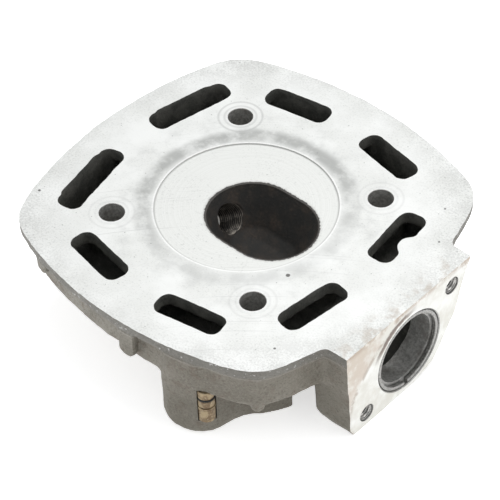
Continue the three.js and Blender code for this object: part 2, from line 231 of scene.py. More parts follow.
def make_studio():
    bpy.context.scene.view_settings.view_transform = "Standard"
    area_light("overhead", 200, 70, 0.8, 0.6, 3.3)
    area_light("left_fill", -25, 32, 1.0, 0.6, 0.7)
    area_light("right_fill", 110, 30, 1.0, 0.6, 1.6)
    world = bpy.data.worlds.new("studio")
    world.use_nodes = True
    background = world.node_tree.nodes["Background"]
    background.inputs["Color"].default_value = (0.96, 0.98, 1.0, 1)
    background.inputs["Strength"].default_value = 0.55
    bpy.context.scene.world = world
    mesh = bpy.data.meshes.new("floor")
    reach = 3.0
    corners = [(-reach, -reach, 0), (reach, -reach, 0), (reach, reach, 0), (-reach, reach, 0)]
    mesh.from_pydata(corners, [], [(0, 1, 2, 3)])
    floor = bpy.data.objects.new("floor", mesh)
    bpy.context.scene.collection.objects.link(floor)
    material = bpy.data.materials.new("floor_paper")
    material.use_nodes = True
    shader = material.node_tree.nodes["Principled BSDF"]
    shader.inputs["Base Color"].default_value = (0.93, 0.93, 0.93, 1)
    shader.inputs["Roughness"].default_value = 0.9
    shader.inputs["Emission Color"].default_value = (1, 1, 1, 1)
    shader.inputs["Emission Strength"].default_value = 0.6
    mesh.materials.append(material)
    floor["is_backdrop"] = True


# ---- node materials -----------------------------------------------------------------------------


class Nodes:
    """Builds one material's node tree. Values are node outputs or plain numbers."""

    def __init__(self, name, metallic, roughness):
        self.material = bpy.data.materials.new(name)
        self.material.use_nodes = True
        self.tree = self.material.node_tree
        self.shader = self.tree.nodes["Principled BSDF"]
        self.shader.inputs["Metallic"].default_value = metallic
        self.shader.inputs["Roughness"].default_value = roughness
        coordinates = self.tree.nodes.new("ShaderNodeTexCoord")
        shift = self.tree.nodes.new("ShaderNodeMapping")
        shift.inputs["Location"].default_value = -DATUM / MM
        shift.inputs["Scale"].default_value = (1 / MM,) * 3
        self.tree.links.new(coordinates.outputs["Object"], shift.inputs["Vector"])
        self.place = shift.outputs["Vector"]
        parts = self.tree.nodes.new("ShaderNodeSeparateXYZ")
        self.tree.links.new(self.place, parts.inputs[0])
        self.x, self.y, self.z = parts.outputs

    def set(self, socket, value):
        if isinstance(value, bpy.types.NodeSocket):
            self.tree.links.new(value, socket)
        elif isinstance(value, (tuple, list)) and len(value) == 3 and socket.type == "RGBA":
            socket.default_value = (*value, 1.0)
        else:
            socket.default_value = value

    def math(self, operation, *values, clamp=False):
        node = self.tree.nodes.new("ShaderNodeMath")
        node.operation = operation
        node.use_clamp = clamp
        for socket, value in zip(node.inputs, values):
            self.set(socket, value)
        return node.outputs[0]

    def noise(self, scale, detail=3.0, roughness=0.55, stretch=None, distortion=0.0, shift=None):
        node = self.tree.nodes.new("ShaderNodeTexNoise")
        vector = self.place
        if stretch or shift:
            mapping = self.tree.nodes.new("ShaderNodeMapping")
            mapping.inputs["Scale"].default_value = stretch or (1, 1, 1)
            mapping.inputs["Location"].default_value = shift or (0, 0, 0)
            self.tree.links.new(vector, mapping.inputs["Vector"])
            vector = mapping.outputs["Vector"]
        self.tree.links.new(vector, node.inputs["Vector"])
        node.inputs["Scale"].default_value = scale
        node.inputs["Detail"].default_value = detail
        node.inputs["Roughness"].default_value = roughness
        node.inputs["Distortion"].default_value = distortion
        return node.outputs["Fac"]

    def spots(self, scale, shift=(0, 0, 0)):
        """Distance to the nearest of scattered points, in cell widths."""
        node = self.tree.nodes.new("ShaderNodeTexVoronoi")
        mapping = self.tree.nodes.new("ShaderNodeMapping")
        mapping.inputs["Location"].default_value = shift
        self.tree.links.new(self.place, mapping.inputs["Vector"])
        self.tree.links.new(mapping.outputs["Vector"], node.inputs["Vector"])
        node.inputs["Scale"].default_value = scale
        return node.outputs["Distance"]

    def span(self, value, low, high, smooth=True):
        """0 below low, 1 above high."""
        node = self.tree.nodes.new("ShaderNodeMapRange")
        node.interpolation_type = "SMOOTHSTEP" if smooth else "LINEAR"
        self.set(node.inputs["Value"], value)
        node.inputs["From Min"].default_value = low
        node.inputs["From Max"].default_value = high
        return node.outputs["Result"]

    def band(self, value, centre, half, soft):
        """1 within half of centre, fading over soft."""
        off = self.math("ABSOLUTE", self.math("SUBTRACT", value, centre))
        return self.math("SUBTRACT", 1.0, self.span(off, half, half + soft))

    def radius(self, x, y):
        """Distance from an upright axis."""
        return self.radius_of(self.x, x, self.y, y)

    def radius_of(self, a, a0, b, b0):
        da = self.math("SUBTRACT", a, a0)
        db = self.math("SUBTRACT", b, b0)
        return self.math("SQRT", self.plus(self.times(da, da), self.times(db, db)))

    def combine(self, x, y, z):
        node = self.tree.nodes.new("ShaderNodeCombineXYZ")
        for socket, value in zip(node.inputs, (x, y, z)):
            self.set(socket, value)
        return node.outputs[0]

    def noise_of(self, vector, scale, detail):
        """Noise over a made-up vector, such as one that holds only a radius."""
        node = self.tree.nodes.new("ShaderNodeTexNoise")
        self.tree.links.new(vector, node.inputs["Vector"])
        node.inputs["Scale"].default_value = scale
        node.inputs["Detail"].default_value = detail
        return node.outputs["Fac"]

    def mix(self, fac, a, b):
        node = self.tree.nodes.new("ShaderNodeMix")
        node.data_type = "RGBA"
        # the socket names repeat for each data type: 0 is the factor, 6 and 7 are the colours
        self.set(node.inputs[0], fac)
        self.set(node.inputs[6], a)
        self.set(node.inputs[7], b)
        return node.outputs[2]

    def times(self, a, b):
        return self.math("MULTIPLY", a, b)

    def plus(self, *values):
        total = values[0]
        for value in values[1:]:
            total = self.math("ADD", total, value)
        return total

    def finish(self, colour, roughness=None, height=None, depth=0.1, strength=1.0):
        """Height is in units of depth, and depth is in millimetres."""
        self.set(self.shader.inputs["Base Color"], colour)
        if roughness is not None:
            self.set(self.shader.inputs["Roughness"], roughness)
        if height is not None:
            bump = self.tree.nodes.new("ShaderNodeBump")
            bump.inputs["Strength"].default_value = strength
            bump.inputs["Distance"].default_value = depth * MM
            self.set(bump.inputs["Height"], height)
            self.tree.links.new(bump.outputs["Normal"], self.shader.inputs["Normal"])
        return self.material


def cast_sides():
    """Sand-cast aluminium: warm grey, blotched with old oil, with a pitted band under the deck, and
    painted shade towards the outlet side and the bottom.
    """
    n = Nodes("cast_aluminium", metallic=0.25, roughness=0.6)
    broad = n.noise(0.07, 3, 0.6)
    mottle = n.noise(0.3, 4, 0.62, shift=(4, 8, 2))
    grain = n.noise(1.5, 4, 0.72)
    fine = n.noise(4.0, 2, 0.6)
    colour = n.mix(n.span(broad, 0.38, 0.62), (0.215, 0.2, 0.168), (0.285, 0.268, 0.23))
    colour = n.mix(n.times(n.span(mottle, 0.5, 0.68), 0.7), colour, (0.19, 0.145, 0.118))
    colour = n.mix(n.times(n.span(grain, 0.5, 0.7), 0.6), colour, (0.4, 0.375, 0.33))
    colour = n.mix(n.times(n.span(grain, 0.47, 0.34), 0.7), colour, (0.075, 0.063, 0.047))
    # painted shade: the sides are darkened towards the outlet side (+X) and towards the bottom
    painted_shade_outlet_side = n.times(n.span(n.plus(n.x, n.times(mottle, 12)), -10, 32), 0.42)
    colour = n.mix(painted_shade_outlet_side, colour, (0.125, 0.108, 0.078))
    # painted shade, darker towards the bottom
    low = n.times(n.span(n.plus(n.z, n.times(mottle, 4)), -11, -20), 0.2)
    colour = n.mix(low, colour, (0.115, 0.108, 0.078))
    # the lip just under the deck is greyer and more pitted than the wall below it
    lip = n.span(n.plus(n.z, n.times(grain, 1.6)), -2.9, -1.9)
    colour = n.mix(n.times(lip, 0.4), colour, (0.26, 0.26, 0.25))
    knocks = n.times(n.span(n.noise(1.0, 2, 0.5, shift=(7, 3, 1)), 0.63, 0.7), lip)
    colour = n.mix(n.times(knocks, 0.8), colour, (0.62, 0.61, 0.59))
    # a parting line runs round the wall
    seam = n.band(n.plus(n.z, n.times(mottle, 0.8)), -3.4, 0.05, 0.35)
    colour = n.mix(n.times(seam, 0.3), colour, (0.42, 0.4, 0.37))
    height = n.plus(n.times(grain, 1.3), n.times(mottle, 0.8), n.times(fine, 0.25))
    height = n.plus(height, n.times(lip, n.times(grain, 1.4)), n.times(seam, 0.3))
    roughness = n.plus(0.5, n.times(mottle, 0.2))
    return n.finish(colour, roughness, height, depth=0.3)


def machined_deck():
    """Face-milled gasket deck: pale, with cutter arcs, the gasket's print, scuffs and spot rings."""
    n = Nodes("machined_deck", metallic=0.2, roughness=0.45)
    radius = n.radius(0, 0)
    cloud = n.noise(0.055, 4, 0.6)
    patch = n.noise(0.13, 4, 0.65, shift=(20, 4, 0))
    fine = n.noise(1.7, 4, 0.72)
    arcs = n.noise_of(n.combine(n.times(n.radius(150, -170), 2.2), n.times(n.x, 0.02), 0), 1.0, 3)
    rings = n.noise_of(n.combine(n.times(radius, 3.0), n.times(fine, 0.25), 0), 1.0, 3)
    colour = n.mix(n.span(cloud, 0.35, 0.65), (0.75, 0.755, 0.73), (0.84, 0.845, 0.825))
    # turned recess round the chamber, a shade darker than the deck
    recess = n.math("LESS_THAN", radius, RECESS_RADIUS)
    turned_shade = n.mix(n.span(rings, 0.3, 0.7), (0.735, 0.74, 0.71), (0.785, 0.79, 0.765))
    colour = n.mix(recess, colour, turned_shade)
    # painted highlight: a thin pale line just outside the edge of the recess
    colour = n.mix(n.band(radius, RECESS_RADIUS + 0.3, 0.12, 0.3), colour, (0.92, 0.92, 0.9))
    # painted shade: a thin dark line along the step of the recess
    step = n.times(n.band(radius, RECESS_RADIUS - 0.1, 0.1, 0.25), 0.55)
    colour = n.mix(step, colour, (0.36, 0.36, 0.345))
    # grey, broken print of the gasket's sealing bead, strongest on the -X and +Y sides
    wander = n.plus(radius, n.times(cloud, 3.0), -1.5)
    around = n.span(n.plus(n.times(n.x, -0.8), n.times(n.y, 0.6), n.times(patch, 24), -12), -22, 16)
    broken = n.plus(0.35, n.times(n.span(patch, 0.34, 0.58), 0.65))
    bead = n.times(n.band(wander, 29.6, 0.7, 3.2), n.plus(0.4, n.times(around, 0.6)))
    bead = n.times(bead, broken)
    colour = n.mix(n.times(bead, 0.95), colour, (0.4, 0.405, 0.39))
    haze = n.times(n.band(wander, 35.0, 1.5, 7.0), n.span(patch, 0.46, 0.75))
    colour = n.mix(n.times(haze, 0.42), colour, (0.48, 0.485, 0.47))
    # fine speckle all over, stronger in some places than in others
    grit = n.times(n.span(fine, 0.53, 0.68), n.span(cloud, 0.7, 0.35))
    colour = n.mix(n.times(grit, 0.6), colour, (0.48, 0.485, 0.465))
    rim = n.times(n.span(radius, 46, 66), n.span(n.plus(fine, n.times(patch, 0.7)), 0.72, 0.98))
    colour = n.mix(n.times(rim, 0.5), colour, (0.42, 0.42, 0.4))
    dots = n.span(n.spots(0.3, (3, 7, 0)), 0.075, 0.03)
    colour = n.mix(n.times(dots, 0.6), colour, (0.15, 0.15, 0.14))
    scratch = n.span(arcs, 0.62, 0.74)
    colour = n.mix(n.times(scratch, 0.4), colour, (0.47, 0.47, 0.455))
    # rings left by the washers of the stud holes
    for x, y in STUD_PLACES:
        around = n.radius(x, y)
        clear = 1.0 if x < 0 < y else 0.4
        for mark, strength in ((4.75, 0.32), (6.5, 0.4)):
            line = n.band(around, mark, 0.1, 0.45)
            colour = n.mix(n.times(line, strength * clear), colour, (0.4, 0.4, 0.39))
        worn = n.times(n.band(around, 5.6, 0.4, 0.5), n.span(fine, 0.3, 0.6))
        colour = n.mix(n.times(worn, 0.25 * clear), colour, (0.9, 0.9, 0.88))
    colour = burnt_rim(n, colour, fine)
    # blow holes that the mill opened, each painted as a dark spot: painted shade standing in for its
    # hollow
    for x, y, size in DECK_PORES:
        painted_pore_shade = n.span(n.plus(n.radius(x, y), n.times(fine, 0.35)), size + 0.25, size + 0.02)
        colour = n.mix(n.times(painted_pore_shade, 0.9), colour, (0.07, 0.065, 0.06))
    # brown stain along the edge that the deck shares with the outlet face
    stain = n.times(n.span(n.x, 53, 60.5), n.span(n.noise(0.16, 4, 0.65, shift=(5, 5, 5)), 0.47, 0.62))
    colour = n.mix(n.times(stain, 0.55), colour, (0.43, 0.36, 0.29))
    height = n.plus(n.times(arcs, 0.7), n.times(fine, 0.45), n.times(n.times(rings, recess), 0.5))
    roughness = n.plus(0.36, n.times(fine, 0.18), n.times(bead, 0.1))
    return n.finish(colour, roughness, height, depth=0.03)


def burnt_rim(n, colour, fine):
    """Soot that has crept from the bowl over its rim on to the deck."""
    from_middle = n.math("ABSOLUTE", n.math("SUBTRACT", n.x, BOWL_CENTRE[0]))
    beyond = n.math("MAXIMUM", from_middle, BOWL_HALF_PITCH)
    from_ends = n.radius_of(beyond, BOWL_HALF_PITCH, n.y, BOWL_CENTRE[1])
    off = n.math("SUBTRACT", from_ends, BOWL_PROFILE[-1][0] + BOWL_EDGE)
    ragged = n.noise(0.9, 4, 0.7, shift=(9, 2, 0))
    lean = n.span(n.math("SUBTRACT", n.y, n.x), -18, 12)
    reach = n.plus(n.times(ragged, 1.1), n.times(lean, 0.35), n.times(fine, 0.4), -0.9)
    near = n.math("SUBTRACT", off, reach)
    colour = n.mix(n.times(n.span(near, 0.9, -0.1), 0.35), colour, (0.3, 0.285, 0.265))
    return n.mix(n.span(near, 0.14, -0.1), colour, (0.05, 0.045, 0.04))


def machined_pad():
    """Milled outlet face: pale, with beige gasket remains round the oval print of the flange."""
    n = Nodes("machined_outlet_face", metallic=0.2, roughness=0.48)
    cloud = n.noise(0.12, 4, 0.6)
    patch = n.noise(0.3, 4, 0.65, shift=(1, 2, 3))
    fine = n.noise(1.9, 4, 0.72)
    mill = n.noise(1.0, 3, 0.6, stretch=(1, 0.25, 3.2))
    colour = n.mix(n.span(cloud, 0.35, 0.65), (0.68, 0.665, 0.61), (0.83, 0.83, 0.8))
    print_line = oval_print(n)
    outside = n.span(print_line, -0.4, 1.6)
    beige = n.times(outside, n.span(n.plus(cloud, n.times(patch, 0.5)), 0.55, 0.85))
    colour = n.mix(n.times(beige, 0.8), colour, (0.52, 0.43, 0.35))
    line = n.times(n.band(print_line, 0.3, 0.3, 0.9), n.span(patch, 0.4, 0.62))
    colour = n.mix(n.times(line, 0.65), colour, (0.36, 0.28, 0.22))
    far = n.times(n.span(print_line, 2.0, 7.0), n.span(patch, 0.3, 0.6))
    colour = n.mix(n.times(far, 0.45), colour, (0.56, 0.49, 0.4))
    # burnt line where the flange's gasket came close to the deck
    bore = n.radius_of(n.y, OUTLET[0], n.z, OUTLET[1])
    tide = n.band(n.plus(bore, n.times(patch, 2.2)), COUNTERBORE_RADIUS + 3.1, 0.35, 0.9)
    upper = n.times(n.span(n.z, -13.0, -7.5), n.span(n.y, 4.0, -4.0))
    edge = n.times(n.span(n.z, -2.6, -0.3), n.span(patch, 0.36, 0.56))
    colour = n.mix(n.times(edge, 0.6), colour, (0.36, 0.27, 0.2))
    colour = n.mix(n.times(n.times(tide, upper), 0.95), colour, (0.15, 0.105, 0.08))
    colour = n.mix(n.times(n.span(fine, 0.55, 0.7), 0.2), colour, (0.6, 0.58, 0.53))
    height = n.plus(n.times(mill, 0.5), n.times(fine, 0.4), n.times(outside, 0.5))
    roughness = n.plus(0.4, n.times(fine, 0.18))
    return n.finish(colour, roughness, height, depth=0.035)


def oval_print(n):
    """Distance outside a two-bolt oval flange: an ellipse through the holes and round the bore."""
    (y1, z1), (y2, z2) = PAD_HOLES.values()
    length = math.hypot(y1 - y2, z1 - z2)
    along = ((y1 - y2) / length, (z1 - z2) / length)
    dy = n.math("SUBTRACT", n.y, OUTLET[0])
    dz = n.math("SUBTRACT", n.z, OUTLET[1])
    u = n.plus(n.times(dy, along[0]), n.times(dz, along[1]))
    v = n.plus(n.times(dy, -along[1]), n.times(dz, along[0]))
    stretch_u = n.math("DIVIDE", u, length / 2 + 7.0)
    stretch_v = n.math("DIVIDE", v, COUNTERBORE_RADIUS + 3.2)
    squares = n.plus(n.times(stretch_u, stretch_u), n.times(stretch_v, stretch_v))
    return n.times(n.math("SUBTRACT", n.math("SQRT", squares), 1.0), 18.0)


def turned_aluminium():
    """Bored and drilled surfaces: grey, with fine tool marks."""
    n = Nodes("bored_aluminium", metallic=0.5, roughness=0.42)
    fine = n.noise(1.2, 4, 0.65)
    broad = n.noise(0.25, 3, 0.6)
    colour = n.mix(n.span(fine, 0.35, 0.65), (0.3, 0.295, 0.28), (0.5, 0.495, 0.475))
    colour = n.mix(n.times(n.span(broad, 0.5, 0.65), 0.4), colour, (0.2, 0.18, 0.16))
    return n.finish(colour, n.plus(0.34, n.times(fine, 0.2)), fine, depth=0.06)


def sooty_chamber():
    """Combustion bowl and plug thread: burnt near-black brown with a dry crust."""
    n = Nodes("sooty_chamber", metallic=0.1, roughness=0.8)
    cloud = n.noise(0.16, 4, 0.65)
    crust = n.noise(1.3, 4, 0.7)
    colour = n.mix(n.span(cloud, 0.4, 0.62), (0.015, 0.0145, 0.013), (0.03, 0.024, 0.019))
    colour = n.mix(n.times(n.span(crust, 0.52, 0.72), 0.5), colour, (0.05, 0.043, 0.037))
    lit = n.times(n.span(n.z, -1.6, 0.0), n.span(crust, 0.35, 0.7))
    colour = n.mix(n.times(lit, 0.5), colour, (0.1, 0.088, 0.075))
    tan = n.times(n.span(cloud, 0.53, 0.66), n.span(crust, 0.4, 0.65))
    colour = n.mix(n.times(tan, 0.45), colour, (0.075, 0.052, 0.036))
    return n.finish(colour, n.plus(0.55, n.times(crust, 0.35)), crust, depth=0.2)


def plug_thread():
    """Spark plug thread: dark, with its crests rubbed bright."""
    n = Nodes("plug_thread", metallic=0.6, roughness=0.35)
    cloud = n.noise(0.6, 4, 0.65)
    fine = n.noise(2.0, 3, 0.6)
    colour = n.mix(n.span(cloud, 0.4, 0.65), (0.025, 0.022, 0.019), (0.06, 0.052, 0.045))
    dx, dy, dz = (n.math("SUBTRACT", v, v0) for v, v0 in zip((n.x, n.y, n.z), PLUG_MOUTH))
    sideways = n.plus(n.times(dx, PLUG_OUTWARDS.z), n.times(dz, -PLUG_OUTWARDS.x))
    off_axis = n.math("SQRT", n.plus(n.times(dy, dy), n.times(sideways, sideways)))
    crest = n.times(n.span(off_axis, 4.62, 4.46), n.span(cloud, 0.3, 0.55))
    colour = n.mix(n.times(crest, 0.7), colour, (0.3, 0.27, 0.23))
    return n.finish(colour, n.plus(0.25, n.times(fine, 0.25)), fine, depth=0.03)


def stained_jacket():
    """Inside of slots, jacket and outlet passage: cast skin darkened by coolant."""
    n = Nodes("coolant_stained_cast", metallic=0.15, roughness=0.7)
    cloud = n.noise(0.2, 4, 0.6)
    grain = n.noise(1.6, 4, 0.72)
    colour = n.mix(n.span(cloud, 0.4, 0.62), (0.06, 0.061, 0.053), (0.11, 0.108, 0.095))
    colour = n.mix(n.times(n.span(grain, 0.52, 0.7), 0.4), colour, (0.14, 0.137, 0.122))
    near_deck = n.span(n.plus(n.z, n.times(grain, 1.5)), -1.2, 0.6)
    colour = n.mix(n.times(near_deck, 0.35), colour, (0.16, 0.16, 0.148))
    return n.finish(colour, None, n.plus(grain, n.times(cloud, 0.6)), depth=0.3)


def spring_steel():
    n = Nodes("spring_steel", metallic=0.8, roughness=0.38)
    fine = n.noise(1.5, 4, 0.6)
    colour = n.mix(n.span(fine, 0.35, 0.65), (0.2, 0.195, 0.185), (0.4, 0.395, 0.38))
    return n.finish(colour, n.plus(0.28, n.times(fine, 0.22)), fine, depth=0.03)


def insert_steel():
    n = Nodes("insert_steel", metallic=0.9, roughness=0.3)
    fine = n.noise(2.6, 3, 0.6)
    broad = n.noise(0.5, 3, 0.6)
    colour = n.mix(n.span(fine, 0.35, 0.65), (0.4, 0.39, 0.37), (0.6, 0.59, 0.57))
    colour = n.mix(n.times(n.span(broad, 0.5, 0.65), 0.5), colour, (0.22, 0.2, 0.18))
    return n.finish(colour, n.plus(0.24, n.times(fine, 0.2)), fine, depth=0.02)


def turned_brass():
    """Brass gone brown, with turning marks and a few rubbed places."""
    n = Nodes("turned_brass", metallic=0.6, roughness=0.42)
    cloud = n.noise(0.5, 4, 0.6)
    rings = n.noise(1.0, 2, 0.5, stretch=(0.3, 0.3, 7))
    colour = n.mix(n.span(cloud, 0.4, 0.6), (0.17, 0.115, 0.065), (0.36, 0.28, 0.17))
    rubbed = n.span(n.noise(1.6, 3, 0.6), 0.55, 0.68)
    colour = n.mix(n.times(rubbed, 0.5), colour, (0.48, 0.42, 0.3))
    return n.finish(colour, n.plus(0.34, n.times(cloud, 0.25)), rings, depth=0.03)


def black_rubber():
    n = Nodes("black_rubber", metallic=0.0, roughness=0.7)
    grain = n.noise(3.0, 3, 0.6)
    colour = n.mix(n.span(grain, 0.4, 0.65), (0.012, 0.012, 0.011), (0.035, 0.033, 0.03))
    return n.finish(colour, None, grain, depth=0.04)


# ---- the cast body as a distance field ----------------------------------------------------------

VOXEL = 0.62
STOCK = 3.0  # metal left above the deck and past the outlet face, for the cutters to remove


def soft_union(a, b, blend):
    t = np.clip(0.5 + 0.5 * (b - a) / blend, 0, 1)
    return b + (a - b) * t - blend * t * (1 - t)


def soft_cut(body, hole, blend):
    return -soft_union(-body, hole, blend)


def rounded_pull(outline, depth, edge):
    """A flat outline's distance pulled down to a depth, its lower edge rounded."""
    q1, q2 = outline + edge, depth + edge
    inside = np.minimum(np.maximum(q1, q2), 0)
    return inside + np.hypot(np.maximum(q1, 0), np.maximum(q2, 0)) - edge


def deck_distance(x, y):
    """Distance to the bowed, round-cornered deck outline."""
    offset = SIDE_RADIUS - DECK_HALF
    reach = SIDE_RADIUS - CORNER_RADIUS
    corner = (-offset + math.sqrt(2 * reach ** 2 - offset ** 2)) / 2
    turn = math.atan2(corner, corner + offset)
    far, near = np.maximum(abs(x), abs(y)), np.minimum(abs(x), abs(y))
    to_side = np.hypot(far + offset, near) - reach
    to_corner = np.hypot(far - corner, near - corner)
    in_corner = np.arctan2(near, far + offset) > turn
    return np.where(in_corner & (to_side > 0), to_corner, to_side) - CORNER_RADIUS


def wall_inset(x, y):
    along_x = WALL_INSET_NEAR + (INSET_START_X - x) * INSET_SLOPE
    along_y = np.maximum(y - INSET_START_Y, 0) * INSET_SLOPE_Y
    return np.minimum(np.clip(along_x, WALL_INSET_NEAR, WALL_INSET_FAR) + along_y, INSET_LIMIT)


def polygon_distance(points, x, y):
    """Signed distance to a closed outline."""
    best = np.full(np.broadcast(x, y).shape, 1e9)
    sign = np.ones_like(best)
    for (ax, ay), (bx, by) in zip(points, points[1:] + points[:1]):
        ex, ey = bx - ax, by - ay
        wx, wy = x - ax, y - ay
        t = np.clip((wx * ex + wy * ey) / (ex * ex + ey * ey), 0, 1)
        best = np.minimum(best, np.hypot(wx - ex * t, wy - ey * t))
        above, below, left = y >= ay, y < by, ex * wy > ey * wx
        crosses = (above & below & left) | (~above & ~below & ~left)
        sign = np.where(crosses, -sign, sign)
    return sign * best


def slot_distance(x, y, centre, length, width, tilt):
    dx, dy = x - centre[0], y - centre[1]
    u = dx * math.cos(tilt) + dy * math.sin(tilt)
    v = -dx * math.sin(tilt) + dy * math.cos(tilt)
    qu, qv = abs(u) - length / 2 + SLOT_CORNER, abs(v) - width / 2 + SLOT_CORNER
    inside = np.minimum(np.maximum(qu, qv), 0)
    return inside + np.hypot(np.maximum(qu, 0), np.maximum(qv, 0)) - SLOT_CORNER


def slot_plans():
    for a in SIGNS:
        for b in SIGNS:
            s = SLOT_SIDE
            yield (a * s["x"], b * s["y"]), s["length"], s["width"], -a * b * s["tilt"]
    for s in (SLOT_LONG, SLOT_OUTLET):
        for b in SIGNS:
            side = math.copysign(1, s["x"])
            yield (s["x"], b * s["y"]), s["width"], s["length"], side * b * s["tilt"]


def rod_distance(x, y, z, start, direction, radius, length):
    dx, dy, dz = x - start[0], y - start[1], z - start[2]
    along = dx * direction[0] + dy * direction[1] + dz * direction[2]
    across = np.sqrt(np.maximum(dx * dx + dy * dy + dz * dz - along * along, 0))
    return np.maximum(across - radius, np.maximum(-along, along - length))


def cast_field(x, y, z):
    deck = deck_distance(x, y)
    inset = wall_inset(x, y)

    def pull(outline, depth, edge):
        return rounded_pull(outline, -depth - z, edge)

    body = pull(deck, LIP_DEPTH, 0.9)
    body = soft_union(body, pull(deck + inset, WALL_DEPTH, 1.6), 1.0)
    body = soft_union(body, pull(deck + inset + ROOF_INSET, ROOF_DEPTH, 2.0), 3.0)
    # crown over the chamber, with its round seat
    crown = pull(np.hypot(x - CROWN["x"], y) - CROWN["radius"], CROWN["depth"], 3.5)
    step = np.hypot(x - CROWN_STEP["x"], y) - CROWN_STEP["radius"]
    crown = soft_union(crown, pull(step, ROOF_DEPTH + CROWN_STEP_DROP, 2.5), 3.0)
    seat = pull(np.hypot(x - SEAT_CENTRE[0], y) - SEAT_RADIUS, HEAD_HEIGHT + 1, 0.5)
    body = soft_union(body, soft_union(crown, seat, 2.5), 3.0)
    for place in STUD_PLACES:
        column = pull(np.hypot(x - place[0], y - place[1]) - STUD_COLUMN_RADIUS, STUD_SEAT_DEPTH + 1, 0.5)
        body = soft_union(body, column, 2.5)
    # side boss, foot and ribs
    boss = np.hypot(x - SIDE_BOSS[0], y - SIDE_BOSS[1]) - SIDE_BOSS_RADIUS
    boss = pull(boss, -SIDE_BOSS_END, SIDE_BOSS_ROUND)
    foot = pull(polygon_distance(FOOT_OUTLINE, x, y), HEAD_HEIGHT - 0.3, 0.8)
    body = soft_union(body, soft_union(boss, foot, 3.0), 1.4)
    for rx, ry, radius, low in WALL_RIBS:
        body = soft_union(body, pull(np.hypot(x - rx, y - ry) - radius, -low, radius * 0.8), 1.2)
    plug = rod_distance(x, y, z, PLUG_MOUTH, PLUG_OUTWARDS, PLUG_BOSS_RADIUS, PLUG_BOSS_LENGTH + 1)
    body = soft_union(body, plug, 3.0)
    # metal above the deck is only ever as wide as the deck
    body = np.maximum(body, deck)
    # outlet pad and neck
    pad = polygon_distance(PAD_OUTLINE, y, z)
    block = np.maximum(rounded_pull(pad, PAD_BACK_X - x, 3.0), x - PAD_FACE_X - STOCK)
    bridge = np.maximum(np.maximum(PAD_BRIDGE_X - x, x - PAD_FACE_X), 1 - WALL_DEPTH - z)
    bridge = np.maximum(pad, bridge)
    neck = np.maximum(np.hypot(y - OUTLET[0], z - OUTLET[1]) - NECK_RADIUS,
                      np.maximum(OUTLET_END_X - 9 - x, x - PAD_FACE_X))
    outlet = soft_union(soft_union(block, bridge, 1.2), neck, 3.0)
    body = soft_union(body, outlet, 2.2)
    return body, deck


def hollow_field(x, y, z, deck):
    """Coolant slots, the jacket they open into, and the passage to the outlet."""
    jacket = np.maximum(deck + JACKET_INSET, abs(z + (JACKET_TOP + JACKET_FLOOR) / 2)
                        - (JACKET_FLOOR - JACKET_TOP) / 2)
    jacket = soft_cut(jacket, np.hypot(x, y) - JACKET_INNER_RADIUS, 2.0)
    for place in STUD_PLACES:
        column = np.hypot(x - place[0], y - place[1]) - STUD_COLUMN_RADIUS + 1
        jacket = soft_cut(jacket, column, 2.0)
    for centre, length, width, tilt in slot_plans():
        draft = SLOT_DRAFT * np.maximum(z + SLOT_DRAFT_FROM, 0) - SLOT_SHRINK
        slot = slot_distance(x, y, centre, length, width, tilt) - draft
        if centre[0] == SLOT_LONG["x"]:
            outwards = (-LONG_STEP * math.cos(tilt), -LONG_STEP * math.sin(tilt))
            middle = (centre[0] + outwards[0], centre[1] + outwards[1])
            wider = slot_distance(x, y, middle, length, width - LONG_STEP_ENDS, tilt) - draft
            slot = np.minimum(slot, wider)
        slot = np.maximum(slot, -JACKET_FLOOR - z)
        bulge_y = PAD_HOLES["upper_thread_insert"][0]
        bulge = np.hypot(x - BOLT_BULGE_X, y - bulge_y) - BOLT_BULGE_RADIUS
        slot = soft_cut(slot, bulge, 1.0)
        jacket = soft_union(jacket, slot, 1.0)
    start = (OUTLET_END_X - 1, *OUTLET)
    passage = rod_distance(x, y, z, start, ALONG_X, PASSAGE_RADIUS, PASSAGE_LENGTH)
    return soft_union(jacket, passage, 2.0)


def lattice_noise(points, cell, seed):
    """Smooth random values in -1...1 at points, from a seeded lattice of that cell size."""
    table = np.random.default_rng(seed).uniform(-1, 1, (64, 64, 64))
    place = points / cell + 1000
    base = np.floor(place).astype(int)
    part = place - base
    part = part * part * (3 - 2 * part)
    total = np.zeros(len(points))
    for dx in (0, 1):
        for dy in (0, 1):
            for dz in (0, 1):
                corner = (base + (dx, dy, dz)) % 64
                weight = abs(1 - dx - part[:, 0]) * abs(1 - dy - part[:, 1]) * abs(1 - dz - part[:, 2])
                total += weight * table[corner[:, 0], corner[:, 1], corner[:, 2]]
    return total


